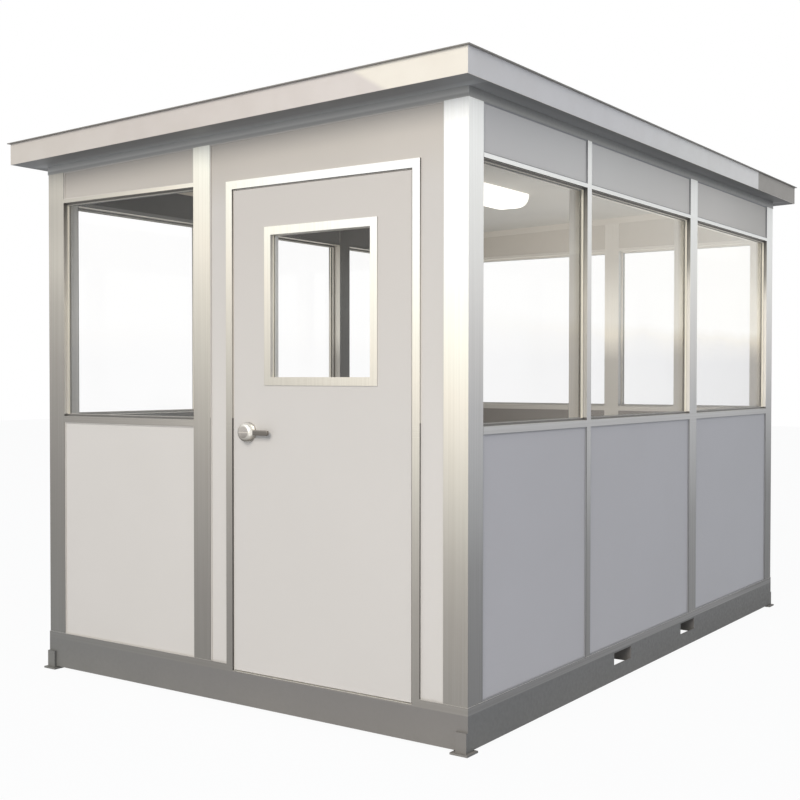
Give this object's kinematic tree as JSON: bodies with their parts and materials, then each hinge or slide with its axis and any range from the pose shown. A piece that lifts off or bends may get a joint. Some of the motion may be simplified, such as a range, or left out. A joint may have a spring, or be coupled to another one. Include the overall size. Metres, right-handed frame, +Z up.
{
  "type": "guard booth",
  "caption": "Single-room guard booth on a steel skid with forklift pockets, windows on all sides, a hinged half-glazed door with a lever, and a shallow sloped roof with overhangs",
  "frame": {"origin": "centre of the booth's floor plan, on the ground under the feet", "axes": "+X along the door wall towards the hinge side and the roof's high edge, -Y out of the door wall, +Z up"},
  "size_m": [2.6384, 3.9856, 2.6537],
  "materials": {
    "skid_steel": "satin grey paint",
    "floor_plate": "grey coated floor plate",
    "frame_aluminium": "clear anodised extrusion, satin",
    "wall_panel": "warm light grey coated sheet",
    "window_glass": "clear float glass",
    "door_paint": "warm light grey paint",
    "trim_white": "off-white paint",
    "lock_metal": "satin steel",
    "hinge_steel": "satin steel",
    "roof_metal": "light grey coated sheet",
    "roof_core": "dark grey coated liner",
    "light_diffuser": "white diffuser"
  },
  "bodies": {
    "booth": {"base_rail_front": "skid_steel", "base_rail_right": "skid_steel", "base_rail_back": "skid_steel", "base_rail_left": "skid_steel", "fork_channel_front": "skid_steel", "fork_channel_back": "skid_steel", "floor_joists": "skid_steel", "feet": "skid_steel", "floor_deck": "floor_plate", "bottom_track": "frame_aluminium", "top_track": "frame_aluminium", "corner_posts": "frame_aluminium", "front_post": "frame_aluminium", "back_post": "frame_aluminium", "right_studs": "frame_aluminium", "left_studs": "frame_aluminium", "front_window_frames": "frame_aluminium", "right_window_frames": "frame_aluminium", "back_window_frames": "frame_aluminium", "left_window_frames": "frame_aluminium", "threshold": "frame_aluminium", "front_panels": "wall_panel", "right_panels": "wall_panel", "back_panels": "wall_panel", "left_panels": "wall_panel", "door_panel_left": "wall_panel", "door_panel_right": "wall_panel", "door_panel_head": "wall_panel", "front_glass": "window_glass", "right_glass": "window_glass", "back_glass": "window_glass", "left_glass": "window_glass", "door_frame": "trim_white", "hinges_fixed": "hinge_steel", "roof_fascia": "roof_metal", "roof_sheet": "roof_metal", "roof_panel": "roof_core", "ceiling_light": "light_diffuser"},
    "door": {"door_leaf": "door_paint", "door_glass": "window_glass", "door_window_trim": "trim_white", "lock_case": "lock_metal", "hinges_moving": "hinge_steel"},
    "lever": {"lever_handle": "lock_metal"}
  },
  "joints": [
    {"name": "door_hinge", "type": "hinge", "parent": "booth", "child": "door", "pos_m": [0.9567, -1.7708, 1.2], "axis": [0, 0, -1], "range_deg": [0, 90]},
    {"name": "lever_turn", "type": "hinge", "parent": "door", "child": "lever", "pos_m": [0.0992, -1.8223, 1.205], "axis": [0, 1, 0], "range_deg": [0, 40], "stiffness_Nm_per_rad": 1.5}
  ]
}
